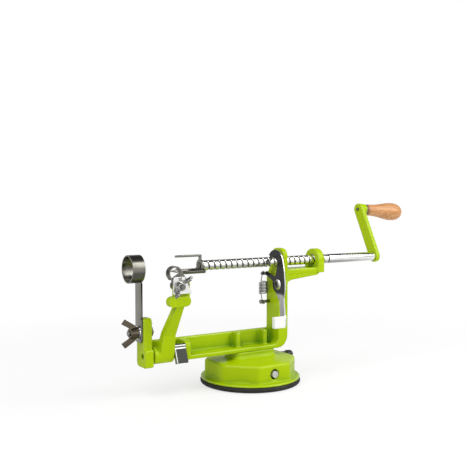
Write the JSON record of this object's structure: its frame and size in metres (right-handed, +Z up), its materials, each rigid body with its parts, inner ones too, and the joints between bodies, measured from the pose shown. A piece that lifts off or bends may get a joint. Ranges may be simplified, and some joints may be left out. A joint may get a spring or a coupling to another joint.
{
  "type": "apple peeler",
  "caption": "Hand-cranked peeler with suction base: feed screw with fork and crank, release lever, sprung peeling arm with hoop blade, slicer strip with coring ring.",
  "frame": {"origin": "centre of the suction pad's flat underside, on the table", "axes": "+X along the feed screw towards the crank, +Z up, -Y the side of the peeling arm"},
  "size_m": [0.3625, 0.1008, 0.1761],
  "materials": {
    "lime_paint": "glossy enamel on a casting",
    "chrome": "bright plating",
    "steel": "plain steel",
    "rubber": "matte",
    "black_plastic": "matte",
    "white_plastic": "smooth",
    "wood": "clear lacquer"
  },
  "bodies": {
    "frame": {"frame": "lime_paint", "base_cover": "lime_paint", "suction_pad": "rubber", "base_screws": "steel", "base_washers": "steel", "lever_screw": "chrome", "lever_washer": "steel", "spring_peg": "steel", "release_spring": "chrome", "arm_pivot_pin": "steel", "pin_clip": "steel", "arm_spring": "steel", "slicer_bolt": "steel"},
    "sleeve": {"shaft_sleeve": "chrome"},
    "shaft": {"feed_screw": "chrome", "fork": "steel", "crank_arm": "lime_paint", "crank_pin": "steel", "handle_spindle": "steel", "handle_washer": "steel"},
    "grip": {"handle_grip": "wood"},
    "release_lever": {"release_lever": "steel", "thumb_cap": "white_plastic"},
    "peel_arm": {"peel_arm": "lime_paint", "blade_clamp": "chrome", "clamp_bolt": "steel"},
    "peel_blade": {"peel_blade": "steel"},
    "clamp_nut": {"clamp_wing_nut": "chrome"},
    "arm_latch": {"arm_latch": "chrome"},
    "slicer": {"slicer_blade": "steel", "slicer_washer": "chrome"},
    "slicer_nut": {"slicer_wing_nut": "steel"},
    "cam": {"cam_shaft": "chrome", "suction_lever": "steel", "lever_grip": "black_plastic"},
    "stud": {"suction_stud": "steel"}
  },
  "joints": [
    {"name": "shaft_feed", "type": "slide", "parent": "frame", "child": "sleeve", "axis": [1, 0, 0], "range_m": [-0.0636, 0.0732]},
    {"name": "crank_turn", "type": "hinge", "parent": "sleeve", "child": "shaft", "pos_m": [0, 0, 0.1176], "axis": [1, 0, 0], "range_deg": [-3600, 4140]},
    {"name": "grip_spin", "type": "hinge", "parent": "shaft", "child": "grip", "pos_m": [0.163, 0.02534, 0.1691], "axis": [0.9976, -0.0308, -0.0626], "continuous": true},
    {"name": "lever_release", "type": "hinge", "parent": "frame", "child": "release_lever", "pos_m": [0.025, -0.013, 0.096], "axis": [1, 0, 0], "range_deg": [0, 14], "stiffness_Nm_per_rad": 0.6, "springref_deg": -14.32, "deforming": ["release_spring"]},
    {"name": "arm_swing", "type": "hinge", "parent": "frame", "child": "peel_arm", "pos_m": [-0.0976, -0.004, 0.0385], "axis": [1, 0, 0], "range_deg": [-12, 35], "stiffness_Nm_per_rad": 1, "springref_deg": -2.01, "deforming": ["arm_spring"]},
    {"name": "blade_slide", "type": "slide", "parent": "peel_arm", "child": "peel_blade", "axis": [-0.5299, 0, 0.848], "range_m": [-0.0018, 0.0018]},
    {"name": "clamp_nut_spin", "type": "hinge", "parent": "peel_arm", "child": "clamp_nut", "pos_m": [-0.0985, -0.038, 0.104], "axis": [0, -1, 0], "continuous": true},
    {"name": "latch_flip", "type": "hinge", "parent": "frame", "child": "arm_latch", "pos_m": [-0.0845, -0.004, 0.0385], "axis": [1, 0, 0], "range_deg": [-30, 22]},
    {"name": "slicer_swing", "type": "hinge", "parent": "frame", "child": "slicer", "pos_m": [-0.1203, 0, 0.06], "axis": [1, 0, 0], "range_deg": [-90, 0]},
    {"name": "slicer_nut_spin", "type": "hinge", "parent": "frame", "child": "slicer_nut", "pos_m": [-0.126, 0, 0.06], "axis": [-1, 0, 0], "continuous": true},
    {"name": "cam_lever_turn", "type": "hinge", "parent": "frame", "child": "cam", "pos_m": [0, 0, 0.015], "axis": [0, 1, 0], "range_deg": [-170, 0]},
    {"name": "stud_lift", "type": "slide", "parent": "frame", "child": "stud", "axis": [0, 0, 1], "range_m": [0, 0.0026]}
  ],
  "couplings": [
    {"joint": "shaft_feed", "follows": "crank_turn", "m_per_rad": 0.0010106},
    {"joint": "stud_lift", "follows": "cam_lever_turn", "m_per_rad": -0.00083619}
  ]
}
